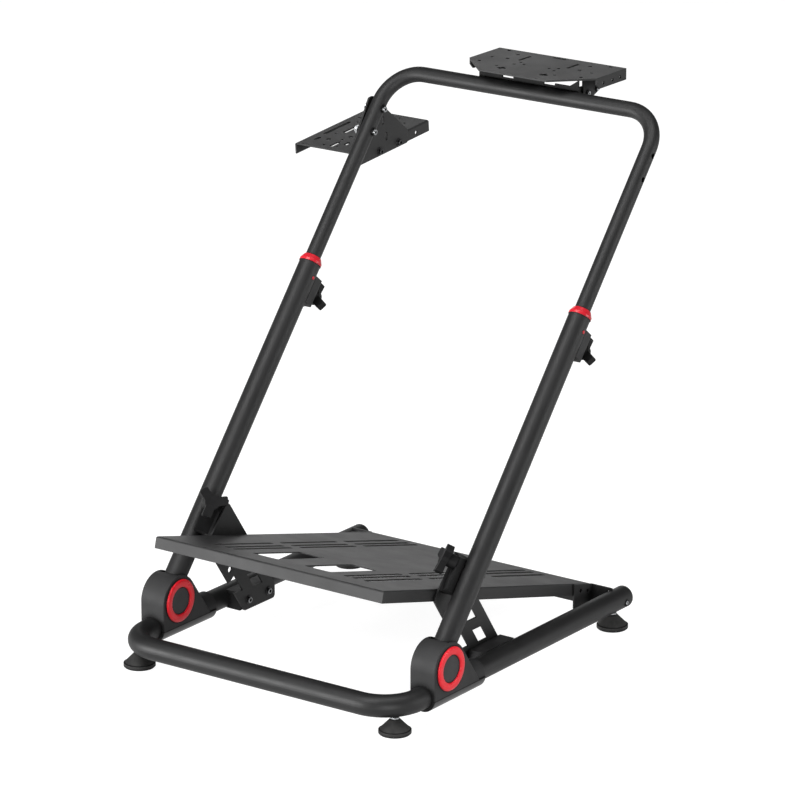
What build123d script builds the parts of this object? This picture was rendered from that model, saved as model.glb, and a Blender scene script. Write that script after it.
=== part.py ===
"""Folding racing wheel stand: bent tube base, hinged uprights, pedal, wheel and shifter plates."""

import os
from math import atan2, cos, degrees, hypot, radians, sin, sqrt, tan

from build123d import *

os.makedirs("parts", exist_ok=True)

# Driving sizes, in millimetres and degrees
TUBE_D = 35.0  # base rails and lower uprights
WALL = 1.5  # tube walls
GUIDE_T = 3.5  # ring of space between the upper tube and the lower tube's bore
TRACK = 514.0  # between rail centrelines
BEND_R = 60.0  # centreline radius of every tube bend
TUBE_Z = 44.0  # base tube centreline above the floor
RAIL_L = 621.0  # front tube centreline to the cut ends of the rails
LEAN = 40.0  # uprights lean back from vertical
LEG_Y = 73.0  # where the upright axis crosses the base tube height
LEG_START = 45.0  # lower end of the upright along its axis
LOWER_TOP = 644.0  # upper end of the lower tube along its axis
UPPER_START = 460.0  # lower end of the upper frame's legs along the axis
BAR_S = 999.0  # top bar centreline along the axis
PIVOT_Y = 113.0  # fold pivot behind the front tube
PIVOT_Z = 38.7  # fold pivot above the base tube centreline
SEAT_GAP = 0.05  # between flat faces that sit on one another
ROUND_GAP = 0.25  # between round faces that sit on one another
RUN_GAP = 0.3  # between pieces that slide or turn past one another
SWING_GAP = 1.0  # each side of the upright in its housing

# Place of the stand's middle plane and front tube, so that the whole is centred on the origin
MID_X = 60.0
FRONT_Y = -409.5

HALF = TRACK / 2
TUBE_R = TUBE_D / 2
UPPER_R = TUBE_R - WALL - GUIDE_T  # sliding upper frame
C = cos(radians(LEAN))
S = sin(radians(LEAN))
SIDES = (("left", -1), ("right", 1))


def side_plane(x):
    """Upright plane at a distance right of the middle: local x runs back, local y runs up."""
    return Plane(origin=(MID_X + x, FRONT_Y, TUBE_Z), x_dir=(0, 1, 0), z_dir=(1, 0, 0))


def leg_plane(x):
    """Upright plane in the uprights' lean: local x is the rear normal, local y runs up the upright."""
    return Plane(origin=(MID_X + x, FRONT_Y + LEG_Y, TUBE_Z), x_dir=(0, C, -S), z_dir=(1, 0, 0))


def across_plane(x, along):
    """Plane square to an upright at a distance along it: local x is to the right, local y to the rear."""
    origin = (MID_X + x, FRONT_Y + LEG_Y + S * along, TUBE_Z + C * along)
    return Plane(origin=origin, x_dir=(1, 0, 0), z_dir=(0, S, C))


def rail_plane(x, y):
    """Plane square to a rail: local x is to the right, local y down, and it looks to the rear."""
    return Plane(origin=(MID_X + x, FRONT_Y + y, TUBE_Z), x_dir=(1, 0, 0), z_dir=(0, 1, 0))


def floor_plane(z):
    """Level plane at a height above the floor: local x to the right, local y behind the front tube."""
    return Plane(origin=(MID_X, FRONT_Y, z), x_dir=(1, 0, 0), z_dir=(0, 0, 1))


def save(part, name):
    """Label a finished piece and write its file."""
    part.label = name
    export_step(part, f"parts/{name}.step")


# Base frame: one tube bent into a U, open at the rear, with a hole in its underside for each foot
FOOT_X = 243.0
FOOT_FRONT_Y = 22.0
FOOT_REAR_IN = 29.0  # in front of the rails' cut ends
STUD_R = 4.0
foot_rear_y = RAIL_L - FOOT_REAR_IN
FEET = (
    ("front_left", -FOOT_X, FOOT_FRONT_Y),
    ("front_right", FOOT_X, FOOT_FRONT_Y),
    ("rear_left", -HALF, foot_rear_y),
    ("rear_right", HALF, foot_rear_y),
)
with BuildPart() as base_frame:
    with BuildLine(floor_plane(TUBE_Z)) as base_path:
        FilletPolyline((-HALF, RAIL_L), (-HALF, 0), (HALF, 0), (HALF, RAIL_L), radius=BEND_R)
    with BuildSketch(Plane(origin=base_path.line @ 0, z_dir=base_path.line % 0)):
        Circle(TUBE_R)
        Circle(TUBE_R - WALL, mode=Mode.SUBTRACT)
    sweep(path=base_path.wire())
    with BuildSketch(floor_plane(TUBE_Z - TUBE_D)):
        with Locations(*((foot_x, foot_y) for foot_name, foot_x, foot_y in FEET)):
            Circle(STUD_R + ROUND_GAP)
    extrude(amount=TUBE_D, mode=Mode.SUBTRACT)
save(base_frame.part, "base_frame")

# End plugs: domed plastic caps pressed into the rail ends
PLUG_DOME = 7.0
PLUG_ROUND = 6.0
PLUG_DEPTH = 20.0
for side_name, sign in SIDES:
    with BuildPart() as rail_plug:
        with BuildSketch(rail_plane(sign * HALF, RAIL_L + SEAT_GAP)):
            Circle(TUBE_R)
        extrude(amount=PLUG_DOME)
        fillet(rail_plug.faces().sort_by(Axis.Y)[-1].edges(), PLUG_ROUND)
        with BuildSketch(rail_plane(sign * HALF, RAIL_L + SEAT_GAP)):
            Circle(TUBE_R - WALL - ROUND_GAP)
        extrude(amount=-PLUG_DEPTH)
    save(rail_plug.part, f"rail_plug_{side_name}")

# Feet: studs in the tube's underside and conical rubber pads with an upright rim
PAD_R = 25.0
PAD_RIM = 6.5
PAD_EDGE = 1.5
PAD_STEP = 2.5
PAD_TOP_R = 7.5
PAD_TOP = 23.5
STUD_FLOOR = 5.0
STUD_REACH = 10.0
stud_top = TUBE_Z - TUBE_R + STUD_REACH
for foot_name, foot_x, foot_y in FEET:
    with BuildPart() as foot_stud:
        with BuildSketch(floor_plane(STUD_FLOOR)):
            with Locations((foot_x, foot_y)):
                Circle(STUD_R)
        extrude(amount=stud_top - STUD_FLOOR)
    save(foot_stud.part, f"foot_stud_{foot_name}")
    with BuildPart() as foot_pad:
        pad_at = (MID_X + foot_x, FRONT_Y + foot_y, 0)
        with BuildSketch(Plane(origin=pad_at, x_dir=(1, 0, 0), z_dir=(0, -1, 0))):
            with BuildLine():
                Polyline(
                    (0, 0),
                    (PAD_R - PAD_EDGE, 0),
                    (PAD_R, PAD_EDGE),
                    (PAD_R, PAD_RIM),
                    (PAD_R - PAD_STEP, PAD_RIM + PAD_EDGE),
                    (PAD_TOP_R, PAD_TOP),
                    (STUD_R + ROUND_GAP, PAD_TOP),
                    (STUD_R + ROUND_GAP, STUD_FLOOR - SEAT_GAP),
                    (0, STUD_FLOOR - SEAT_GAP),
                    close=True,
                )
            make_face()
        revolve(axis=Axis(pad_at, (0, 0, 1)))
    save(foot_pad.part, f"foot_pad_{foot_name}")

# Hinge housings: moulded clevises with a round head over the rail, open behind for the fold
HOUSING_W = 46.0
HEAD_R = 40.0
HOUSING_WALL = 4.0
HOUSING_ROUND = 1.6
SEAM_Z = -3.5
SLEEVE_END = 208.0
SLOPE_DEG = 55.0
SLOT_LIFT = 2.5
PIN_R = 5.0
NECK_T = 3.5
NECK_ROUND = 2.0
LIP_GAP = 2.0  # between the front lip and the upright
slot_w = TUBE_D + 2 * SWING_GAP
slot_floor = TUBE_R + SLOT_LIFT
housing_front = PIVOT_Y - HEAD_R
slot_front = housing_front + HOUSING_WALL
sleeve_r = HOUSING_W / 2
neck_r = TUBE_R + NECK_T
slope_y = PIVOT_Y + HEAD_R * sin(radians(SLOPE_DEG))
slope_z = PIVOT_Z + HEAD_R * cos(radians(SLOPE_DEG))
slope_run = (slope_z - SEAM_Z) / tan(radians(SLOPE_DEG))
pivot_n = (PIVOT_Y - LEG_Y) * C - PIVOT_Z * S
pivot_s = (PIVOT_Y - LEG_Y) * S + PIVOT_Z * C
roof_r = HEAD_R - HOUSING_WALL
lip_n = TUBE_R + LIP_GAP + pivot_n
lip_s = sqrt(roof_r**2 - lip_n**2)
rim_deg = degrees(atan2(lip_n * S + lip_s * C, lip_s * S - lip_n * C))
lip_end = (PIVOT_Y - lip_n * C + 2 * HEAD_R * S, PIVOT_Z + lip_n * S + 2 * HEAD_R * C)
seam_at = TUBE_Z + SEAM_Z
for side_name, sign in SIDES:
    rail_x = sign * HALF
    with BuildPart() as housing:
        with BuildSketch(side_plane(rail_x)):
            with BuildLine():
                front_wall = Line((housing_front, SEAM_Z), (housing_front, PIVOT_Z))
                head = CenterArc((PIVOT_Y, PIVOT_Z), HEAD_R, 180, -90 - SLOPE_DEG)
                slope = Line((slope_y, slope_z), (slope_y + slope_run, SEAM_Z))
                seam = Line((slope_y + slope_run, SEAM_Z), (housing_front, SEAM_Z))
            make_face()
        extrude(amount=HOUSING_W / 2, both=True)
        cheek_rims = housing.edges().filter_by(
            lambda e: abs(e.center().X - MID_X - rail_x) > HOUSING_W * 0.49 and e.center().Z > seam_at + 1
        )
        fillet(cheek_rims, HOUSING_ROUND)
        with BuildSketch(side_plane(rail_x)):
            with BuildLine():
                slot_wall = Line((slot_front, slot_floor), (slot_front, PIVOT_Z))
                slot_roof = CenterArc((PIVOT_Y, PIVOT_Z), roof_r, 180, rim_deg - 180)
                slot_lip = Line(slot_roof @ 1, lip_end)
                slot_top = Line(slot_lip @ 1, (slope_y + 2 * HEAD_R, lip_end[1]))
                slot_rear = Line(slot_top @ 1, (slope_y + 2 * HEAD_R, slot_floor))
                slot_base = Line(slot_rear @ 1, slot_wall @ 0)
            make_face()
        extrude(amount=slot_w / 2, both=True, mode=Mode.SUBTRACT)
        with BuildSketch(rail_plane(rail_x, housing_front)):
            Circle(neck_r)
            with Locations((0, sleeve_r - SEAM_Z)):
                Rectangle(2 * sleeve_r, 2 * sleeve_r, mode=Mode.SUBTRACT)
        extrude(amount=SLEEVE_END - housing_front)
        with BuildSketch(rail_plane(rail_x, housing_front)):
            Circle(TUBE_R + ROUND_GAP)
        extrude(amount=SLEEVE_END - housing_front, mode=Mode.SUBTRACT)
        with BuildSketch(side_plane(rail_x)):
            with Locations((PIVOT_Y, PIVOT_Z)):
                Circle(PIN_R + ROUND_GAP)
        extrude(amount=HOUSING_W, both=True, mode=Mode.SUBTRACT)
    save(housing.part, f"housing_{side_name}")
    with BuildPart() as half_sleeve:
        with BuildSketch(rail_plane(rail_x, housing_front)):
            Circle(sleeve_r)
            with Locations((0, -sleeve_r - SEAM_Z + SEAT_GAP)):
                Rectangle(2 * sleeve_r, 2 * sleeve_r, mode=Mode.SUBTRACT)
        extrude(amount=SLEEVE_END - housing_front)
        fillet(half_sleeve.faces().sort_by(Axis.Y)[-1].edges().filter_by(GeomType.CIRCLE), NECK_ROUND)
        with BuildSketch(rail_plane(rail_x, housing_front)):
            Circle(TUBE_R + ROUND_GAP)
        extrude(amount=SLEEVE_END - housing_front, mode=Mode.SUBTRACT)
    save(half_sleeve.part, f"half_sleeve_{side_name}")

# Pivot pins: plain pins across the cheeks that the uprights turn on
for side_name, sign in SIDES:
    with BuildPart() as pivot_pin:
        with BuildSketch(side_plane(sign * HALF)):
            with Locations((PIVOT_Y, PIVOT_Z)):
                Circle(PIN_R)
        extrude(amount=HOUSING_W / 2, both=True)
    save(pivot_pin.part, f"pivot_pin_{side_name}")

# Hinge rings: flat red rings with rounded edges on both cheeks of each housing
RING_R = 34.5
RING_HOLE_R = 21.5
RING_T = 3.5
RING_ROUND = 2.8
for side_name, sign in SIDES:
    for face_name, face in (("outer", sign), ("inner", -sign)):
        with BuildPart() as hinge_ring:
            with BuildSketch(side_plane(sign * HALF + face * (HOUSING_W / 2 + SEAT_GAP))):
                with Locations((PIVOT_Y, PIVOT_Z)):
                    Circle(RING_R)
                    Circle(RING_HOLE_R, mode=Mode.SUBTRACT)
            extrude(amount=face * RING_T)
            crown = hinge_ring.faces().sort_by(Axis.X)[-1 if face > 0 else 0]
            fillet(crown.edges(), RING_ROUND)
        save(hinge_ring.part, f"hinge_ring_{side_name}_{face_name}")

# Lower uprights: tubes that turn on the pivot pins, pierced for the knob studs
KNOB_STUD_R = 4.0
KNOB_S = 606.0
CLAMP_S = 209.5
CLAMP_DEG = 45.0
clamp_side = sin(radians(CLAMP_DEG))
clamp_front = cos(radians(CLAMP_DEG))
for side_name, sign in SIDES:
    clamp_dir = (-sign * clamp_side, -C * clamp_front, S * clamp_front)
    with BuildPart() as lower_upright:
        with BuildSketch(across_plane(sign * HALF, LEG_START)):
            Circle(TUBE_R)
            Circle(TUBE_R - WALL, mode=Mode.SUBTRACT)
        extrude(amount=LOWER_TOP - LEG_START)
        with BuildSketch(leg_plane(sign * HALF)):
            with Locations((pivot_n, pivot_s)):
                Circle(PIN_R + ROUND_GAP)
        extrude(amount=TUBE_D, both=True, mode=Mode.SUBTRACT)
        knob_at = across_plane(sign * HALF, KNOB_S).origin
        with BuildSketch(Plane(origin=knob_at, x_dir=(1, 0, 0), z_dir=(0, C, -S))):
            Circle(KNOB_STUD_R + RUN_GAP)
        extrude(amount=TUBE_D, mode=Mode.SUBTRACT)
        clamp_at = across_plane(sign * HALF, CLAMP_S).origin
        with BuildSketch(Plane(origin=clamp_at, x_dir=(0, S, C), z_dir=clamp_dir)):
            Circle(KNOB_STUD_R + RUN_GAP)
        extrude(amount=TUBE_D, mode=Mode.SUBTRACT)
    save(lower_upright.part, f"lower_upright_{side_name}")

# Collars: red tapered guides on top of the lower uprights, with a sleeve inside the tube
COLLAR_H = 12.0
COLLAR_BAND = 4.2
COLLAR_LIP = 1.0
COLLAR_TIP = 2.0
COLLAR_SLEEVE = 24.0
for side_name, sign in SIDES:
    with BuildPart() as collar:
        collar_at = across_plane(sign * HALF, LOWER_TOP).origin
        bore_r = UPPER_R + RUN_GAP
        inner_r = TUBE_R - WALL - ROUND_GAP
        with BuildSketch(Plane(origin=collar_at, x_dir=(1, 0, 0), z_dir=(0, -C, S))):
            with BuildLine():
                Polyline(
                    (bore_r, -COLLAR_SLEEVE),
                    (inner_r, -COLLAR_SLEEVE),
                    (inner_r, SEAT_GAP),
                    (TUBE_R + COLLAR_LIP, SEAT_GAP),
                    (TUBE_R + COLLAR_LIP, COLLAR_BAND),
                    (UPPER_R + COLLAR_TIP, COLLAR_H),
                    (bore_r, COLLAR_H),
                    close=True,
                )
            make_face()
        revolve(axis=Axis(collar_at, (0, S, C)))
    save(collar.part, f"collar_{side_name}")

# Lobed knobs: a foot, three square-ended arms with a dished face, and a stud
KNOB_R = 25.0
KNOB_LOBE_W = 14.5
KNOB_CORE_R = 12.0
KNOB_FOOT_R = 11.0
KNOB_EYE_R = 5.0
KNOB_T = 12.0
KNOB_DISH = 2.5
KNOB_ROUND = 3.0


def lobed_knob(seat, foot_h, stud_in):
    """A knob whose arms stand off a seat plane by its foot, with its stud reaching in behind the seat."""
    with BuildPart() as knob:
        with BuildSketch(seat.offset(SEAT_GAP)):
            Circle(KNOB_FOOT_R)
        extrude(amount=foot_h)
        with BuildSketch(seat.offset(SEAT_GAP + foot_h)) as arms:
            Circle(KNOB_CORE_R)
            with PolarLocations(KNOB_R / 2, 3):
                Rectangle(KNOB_R, KNOB_LOBE_W)
            fillet(arms.vertices(), KNOB_ROUND)
        extrude(amount=KNOB_T)
        with Locations(seat.offset(SEAT_GAP + foot_h + KNOB_T - KNOB_DISH)):
            Cone(
                bottom_radius=KNOB_EYE_R,
                top_radius=KNOB_R,
                height=KNOB_DISH,
                align=(Align.CENTER, Align.CENTER, Align.MIN),
                mode=Mode.SUBTRACT,
            )
        with BuildSketch(seat.offset(SEAT_GAP)):
            Circle(KNOB_STUD_R)
        extrude(amount=-stud_in)
    return knob.part


# Height knobs and their saddles on the rear of the lower uprights
SADDLE_L = 46.0
SADDLE_OUT = 32.0
SADDLE_W = 30.0
SADDLE_ROUND = 6.0
SADDLE_WRAP = 9.6
HEIGHT_KNOB_FOOT = 7.0
for side_name, sign in SIDES:
    knob_at = leg_plane(sign * HALF).from_local_coords((SADDLE_OUT, KNOB_S, 0))
    knob_seat = Plane(origin=knob_at, x_dir=(0, S, C), z_dir=(0, C, -S))
    with BuildPart() as knob_saddle:
        with BuildSketch(across_plane(sign * HALF, KNOB_S - SADDLE_L / 2)):
            with Locations((0, SADDLE_OUT / 2)):
                RectangleRounded(SADDLE_W, SADDLE_OUT, SADDLE_ROUND)
            Circle(TUBE_R + ROUND_GAP, mode=Mode.SUBTRACT)
            with Locations((0, -SADDLE_WRAP)):
                Rectangle(2 * SADDLE_W, TUBE_D, mode=Mode.SUBTRACT)
        extrude(amount=SADDLE_L)
        with BuildSketch(knob_seat):
            Circle(KNOB_STUD_R + ROUND_GAP)
        extrude(amount=-SADDLE_OUT, mode=Mode.SUBTRACT)
    save(knob_saddle.part, f"knob_saddle_{side_name}")
    stud_in = SADDLE_OUT - UPPER_R - RUN_GAP
    save(lobed_knob(knob_seat, HEIGHT_KNOB_FOOT, stud_in), f"height_knob_{side_name}")

# Pedal plate: one sheet folded down on all four sides, sloping to the rear, with slot rows and two windows
PEDAL_SIDE = 42.1  # from a rail's centreline to the plate's edge
PEDAL_L = 580.0
PEDAL_DEG = 15.0
PEDAL_SHEET = 2.0
PEDAL_BEND = 3.0
PEDAL_FLANGE = 19.0
PEDAL_REAR_DROP = 36.0
PEDAL_Y = 33.0
PEDAL_Z = 171.4
PEDAL_SLOT_W = 9.0
PEDAL_SLOT_L = 152.0
PEDAL_SLOT_STEP = 174.0
PEDAL_SLOT_FIRST = 130.0
PEDAL_SLOT_ROWS = (105.0, 121.0, 142.5)
PEDAL_WINDOW_W = 50.0
PEDAL_WINDOW_L = 126.0
PEDAL_WINDOW_X = 49.5
PEDAL_WINDOW_V = 122.0
PEDAL_WINDOW_ROUND = 5.0
pedal_w = TRACK - 2 * PEDAL_SIDE
pedal_cos = cos(radians(PEDAL_DEG))
pedal_sin = sin(radians(PEDAL_DEG))
pedal_plane = Plane(
    origin=(MID_X, FRONT_Y + PEDAL_Y, TUBE_Z + PEDAL_Z), x_dir=(1, 0, 0), z_dir=(0, pedal_sin, pedal_cos)
)
pedal_rear_y = PEDAL_Y + PEDAL_L * pedal_cos
pedal_rear_z = PEDAL_Z - PEDAL_L * pedal_sin
with BuildPart() as pedal_plate:
    with BuildSketch(pedal_plane):
        with Locations((0, PEDAL_L / 2)):
            Rectangle(pedal_w, PEDAL_L)
    extrude(amount=-PEDAL_FLANGE)
    sheet_axis = Axis(pedal_plane.origin, pedal_plane.z_dir)
    fillet(pedal_plate.faces().sort_by(sheet_axis)[-1].edges(), PEDAL_BEND)
    offset(amount=-PEDAL_SHEET, openings=pedal_plate.faces().sort_by(sheet_axis)[0])
    with BuildSketch(rail_plane(0, pedal_rear_y - PEDAL_SHEET)):
        with BuildLine():
            Polyline(
                (-pedal_w / 2, PEDAL_BEND - pedal_rear_z),
                (pedal_w / 2, PEDAL_BEND - pedal_rear_z),
                (pedal_w / 2, PEDAL_REAR_DROP - pedal_rear_z),
                (-pedal_w / 2, PEDAL_REAR_DROP - pedal_rear_z),
                close=True,
            )
        make_face()
    extrude(amount=PEDAL_SHEET)
    with BuildSketch(pedal_plane):
        for row in PEDAL_SLOT_ROWS:
            with Locations((0, PEDAL_SLOT_FIRST + PEDAL_SLOT_STEP)):
                with GridLocations(2 * row, PEDAL_SLOT_STEP, 2, 3):
                    SlotOverall(PEDAL_SLOT_L, PEDAL_SLOT_W, rotation=90)
        with Locations((-PEDAL_WINDOW_X, PEDAL_WINDOW_V), (PEDAL_WINDOW_X, PEDAL_WINDOW_V)):
            RectangleRounded(PEDAL_WINDOW_W, PEDAL_WINDOW_L, PEDAL_WINDOW_ROUND)
    extrude(amount=-PEDAL_FLANGE, mode=Mode.SUBTRACT)
save(pedal_plate.part, "pedal_plate")

# Struts: pierced and notched plates from the rails up to the uprights, outside the pedal plate
STRUT_T = 3.0
STRUT_SLOPE = 1.43
STRUT_TOP = (209.5, 174.0)
STRUT_APEX_L = 7.0
STRUT_FRONT = (158.0, 120.0)
STRUT_REAR_Y = 332.5
STRUT_BOTTOM = -15.5
STRUT_ROUND = 6.0
STRUT_BOLTS = (264.0, 315.5)
STRUT_BOLT_R = 3.2
STRUT_EYE_R = 5.0
STRUT_EYE = (216.8, 63.7)
NOTCH_Z = 20.5  # level lower edge of the notch in the front edge
NOTCH_W = 21.7
NOTCH_H = 30.9
WINDOW_W = 23.9
WINDOW_H = 23.8
WINDOWS = ((251.2, 72.6), (280.5, 30.6))
strut_in = pedal_w / 2 + SEAT_GAP
strut_out = strut_in + STRUT_T
strut_mid = (strut_in + strut_out) / 2
strut_apex = (STRUT_TOP[0] + STRUT_APEX_L, STRUT_TOP[1])
strut_rear_z = strut_apex[1] - STRUT_SLOPE * (STRUT_REAR_Y - strut_apex[0])
strut_low_y = STRUT_FRONT[0] + (STRUT_FRONT[1] - STRUT_BOTTOM) / STRUT_SLOPE
window_lean = WINDOW_H / STRUT_SLOPE / 2
notch_y = STRUT_FRONT[0] + (STRUT_FRONT[1] - NOTCH_Z) / STRUT_SLOPE
notch_in_y = notch_y + NOTCH_W - NOTCH_H / STRUT_SLOPE
notch_fall = NOTCH_W / (STRUT_SLOPE + 1 / STRUT_SLOPE) + STRUT_T  # past the front edge
for side_name, sign in SIDES:
    with BuildPart() as strut:
        with BuildSketch(side_plane(sign * strut_mid)) as strut_face:
            with BuildLine():
                Polyline(
                    STRUT_FRONT,
                    STRUT_TOP,
                    strut_apex,
                    (STRUT_REAR_Y, strut_rear_z),
                    (STRUT_REAR_Y, STRUT_BOTTOM),
                    (strut_low_y, STRUT_BOTTOM),
                    close=True,
                )
            make_face()
            fillet(strut_face.vertices(), STRUT_ROUND)
            for window_y, window_z in WINDOWS:
                with BuildLine():
                    Polyline(
                        (window_y - WINDOW_W / 2 - window_lean, window_z + WINDOW_H / 2),
                        (window_y + WINDOW_W / 2 - window_lean, window_z + WINDOW_H / 2),
                        (window_y + WINDOW_W / 2 + window_lean, window_z - WINDOW_H / 2),
                        (window_y - WINDOW_W / 2 + window_lean, window_z - WINDOW_H / 2),
                        close=True,
                    )
                make_face(mode=Mode.SUBTRACT)
            with BuildLine():
                Polyline(
                    (notch_y - STRUT_T, NOTCH_Z),
                    (notch_y + NOTCH_W, NOTCH_Z),
                    (notch_in_y, NOTCH_Z + NOTCH_H),
                    (notch_in_y - notch_fall * STRUT_SLOPE, NOTCH_Z + NOTCH_H - notch_fall),
                    close=True,
                )
            make_face(mode=Mode.SUBTRACT)
            with Locations(STRUT_EYE):
                Circle(STRUT_EYE_R, mode=Mode.SUBTRACT)
            with Locations(*((bolt_y, 0) for bolt_y in STRUT_BOLTS)):
                Circle(STRUT_BOLT_R, mode=Mode.SUBTRACT)
        extrude(amount=STRUT_T / 2, both=True)
    save(strut.part, f"strut_{side_name}")

# Rail blocks: plastic saddles between the struts and the rails
BLOCK_FRONT = 247.5
BLOCK_REAR = 331.5
BLOCK_H = 30.0
BLOCK_WRAP = 9.0
BLOCK_ROUND = 3.0
block_reach = HALF - strut_out - SEAT_GAP
for side_name, sign in SIDES:
    with BuildPart() as rail_block:
        with BuildSketch(rail_plane(sign * HALF, BLOCK_FRONT)) as block_end:
            with Locations((-sign * block_reach / 2, 0)):
                RectangleRounded(block_reach, BLOCK_H, BLOCK_ROUND)
            Circle(TUBE_R + ROUND_GAP, mode=Mode.SUBTRACT)
            with Locations((sign * (TUBE_D - BLOCK_WRAP), 0)):
                Rectangle(2 * TUBE_D, 2 * TUBE_D, mode=Mode.SUBTRACT)
        extrude(amount=BLOCK_REAR - BLOCK_FRONT)
        with BuildSketch(side_plane(sign * strut_out)):
            with Locations(*((bolt_y, 0) for bolt_y in STRUT_BOLTS)):
                Circle(STRUT_BOLT_R)
        extrude(amount=sign * block_reach, mode=Mode.SUBTRACT)
    save(rail_block.part, f"rail_block_{side_name}")

# Clamp blocks and their knobs: saddles on the struts that hold the inner front of the uprights
CLAMP_LOW = 165.0
CLAMP_HIGH = 230.0
CLAMP_FALL = 14.0  # of the block's top, from the strut past its nose
CLAMP_GAP = 0.5
CLAMP_SEAT = 31.5
CLAMP_SEAT_HALF = 9.0
CLAMP_LIP = 10.6
CLAMP_WRAP = 11.0
CLAMP_ROUND = 2.0
CLAMP_KNOB_FOOT = 14.0
clamp_k = CLAMP_SEAT * sqrt(0.5)
clamp_run = CLAMP_SEAT_HALF * sqrt(0.5)
fall_in = 2 * CLAMP_SEAT_HALF
fall_out = 1.5 * CLAMP_SEAT_HALF
for side_name, sign in SIDES:
    with BuildPart() as clamp_block:
        with BuildSketch(across_plane(sign * HALF, CLAMP_LOW)) as clamp_end:
            with BuildLine():
                Polyline(
                    (-sign * block_reach, 0),
                    (-sign * block_reach, -CLAMP_LIP),
                    (-sign * (2 * clamp_k - CLAMP_LIP), -CLAMP_LIP),
                    (-sign * (clamp_k - clamp_run), -clamp_k - clamp_run),
                    (-sign * CLAMP_WRAP, -TUBE_R),
                    (-sign * CLAMP_WRAP, 0),
                    close=True,
                )
            make_face()
            fillet(clamp_end.vertices().sort_by(Axis.Y)[0], CLAMP_ROUND)
            Circle(TUBE_R + CLAMP_GAP, mode=Mode.SUBTRACT)
        extrude(amount=CLAMP_HIGH - CLAMP_LOW)
        clamp_dir = (-sign * clamp_side, -C * clamp_front, S * clamp_front)
        clamp_at = across_plane(sign * HALF, CLAMP_S).origin
        clamp_axis = Plane(origin=clamp_at, x_dir=(0, -S, -C), z_dir=clamp_dir)
        with BuildSketch(clamp_axis):
            with BuildLine():
                Polyline(
                    (CLAMP_S - CLAMP_HIGH, -sign * fall_in),
                    (CLAMP_S - CLAMP_HIGH, sign * fall_out),
                    (CLAMP_S - CLAMP_HIGH + CLAMP_FALL, sign * fall_out),
                    close=True,
                )
            make_face()
        extrude(amount=2 * CLAMP_SEAT, both=True, mode=Mode.SUBTRACT)
        with BuildSketch(clamp_axis):
            Circle(KNOB_STUD_R + ROUND_GAP)
        extrude(amount=2 * CLAMP_SEAT, mode=Mode.SUBTRACT)
    save(clamp_block.part, f"clamp_block_{side_name}")
    stud_in = CLAMP_SEAT - TUBE_R - 2 * CLAMP_GAP
    save(lobed_knob(clamp_axis.offset(CLAMP_SEAT), CLAMP_KNOB_FOOT, stud_in), f"clamp_knob_{side_name}")

# Rear brackets: bent plates that carry the rear corners of the pedal plate over the rails
REAR_CHEEK_L = 52.0
REAR_T = 3.0
REAR_OVER = 3.0  # how far the web stops short of the rail's centreline
REAR_LOW = -12.0
REAR_ROUND = 9.0
REAR_HOLE_R = 3.2
REAR_HOLES = (17.0, 37.0)  # in front of the web
REAR_HOLE_DROP = 11.0  # under the plate's top face
rear_web_y = pedal_rear_y + SEAT_GAP + REAR_T
cheek_y = rear_web_y - REAR_T - REAR_CHEEK_L
rear_top = PEDAL_Z - (rear_web_y - PEDAL_Y) * tan(radians(PEDAL_DEG))
cheek_top = PEDAL_Z - (cheek_y - PEDAL_Y) * tan(radians(PEDAL_DEG))
for side_name, sign in SIDES:
    with BuildPart() as rear_bracket:
        with BuildSketch(side_plane(sign * (strut_in + REAR_T / 2))) as cheek_face:
            with BuildLine():
                Polyline(
                    (cheek_y, cheek_top),
                    (rear_web_y, rear_top),
                    (rear_web_y, REAR_LOW),
                    (cheek_y, REAR_LOW),
                    close=True,
                )
            make_face()
            fillet(cheek_face.vertices().group_by(Axis.Y)[0].sort_by(Axis.X)[0], REAR_ROUND)
            for hole_back in REAR_HOLES:
                hole_top = PEDAL_Z - (rear_web_y - hole_back - PEDAL_Y) * tan(radians(PEDAL_DEG))
                with Locations((rear_web_y - hole_back, hole_top - REAR_HOLE_DROP)):
                    Circle(REAR_HOLE_R, mode=Mode.SUBTRACT)
        extrude(amount=REAR_T / 2, both=True)
        with BuildSketch(rail_plane(0, rear_web_y - REAR_T)):
            with BuildLine():
                Polyline(
                    (sign * strut_in, -rear_top),
                    (sign * (HALF - REAR_OVER), -rear_top),
                    (sign * (HALF - REAR_OVER), 0),
                    (sign * (HALF - TUBE_R), -REAR_LOW),
                    (sign * strut_in, -REAR_LOW),
                    close=True,
                )
            make_face()
            with Locations((sign * HALF, 0)):
                Circle(TUBE_R + ROUND_GAP, mode=Mode.SUBTRACT)
        extrude(amount=REAR_T)
    save(rear_bracket.part, f"rear_bracket_{side_name}")

# Upper frame: inverted U whose legs slide in the lower uprights
LEG_HOLE_R = 4.25
LEG_HOLES = (886.0, 928.0)
upper_plane = Plane(origin=(MID_X, FRONT_Y + LEG_Y, TUBE_Z), x_dir=(1, 0, 0), z_dir=(0, -C, S))
with BuildPart() as upper_frame:
    with BuildLine(upper_plane) as upper_path:
        FilletPolyline(
            (-HALF, UPPER_START),
            (-HALF, BAR_S),
            (HALF, BAR_S),
            (HALF, UPPER_START),
            radius=BEND_R,
        )
    with BuildSketch(Plane(origin=upper_path.line @ 0, z_dir=upper_path.line % 0)):
        Circle(UPPER_R)
        Circle(UPPER_R - WALL, mode=Mode.SUBTRACT)
    sweep(path=upper_path.wire())
    with BuildSketch(leg_plane(0)):
        with Locations(*((0, along) for along in LEG_HOLES)):
            Circle(LEG_HOLE_R)
    extrude(amount=TRACK, both=True, mode=Mode.SUBTRACT)
save(upper_frame.part, "upper_frame")

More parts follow.
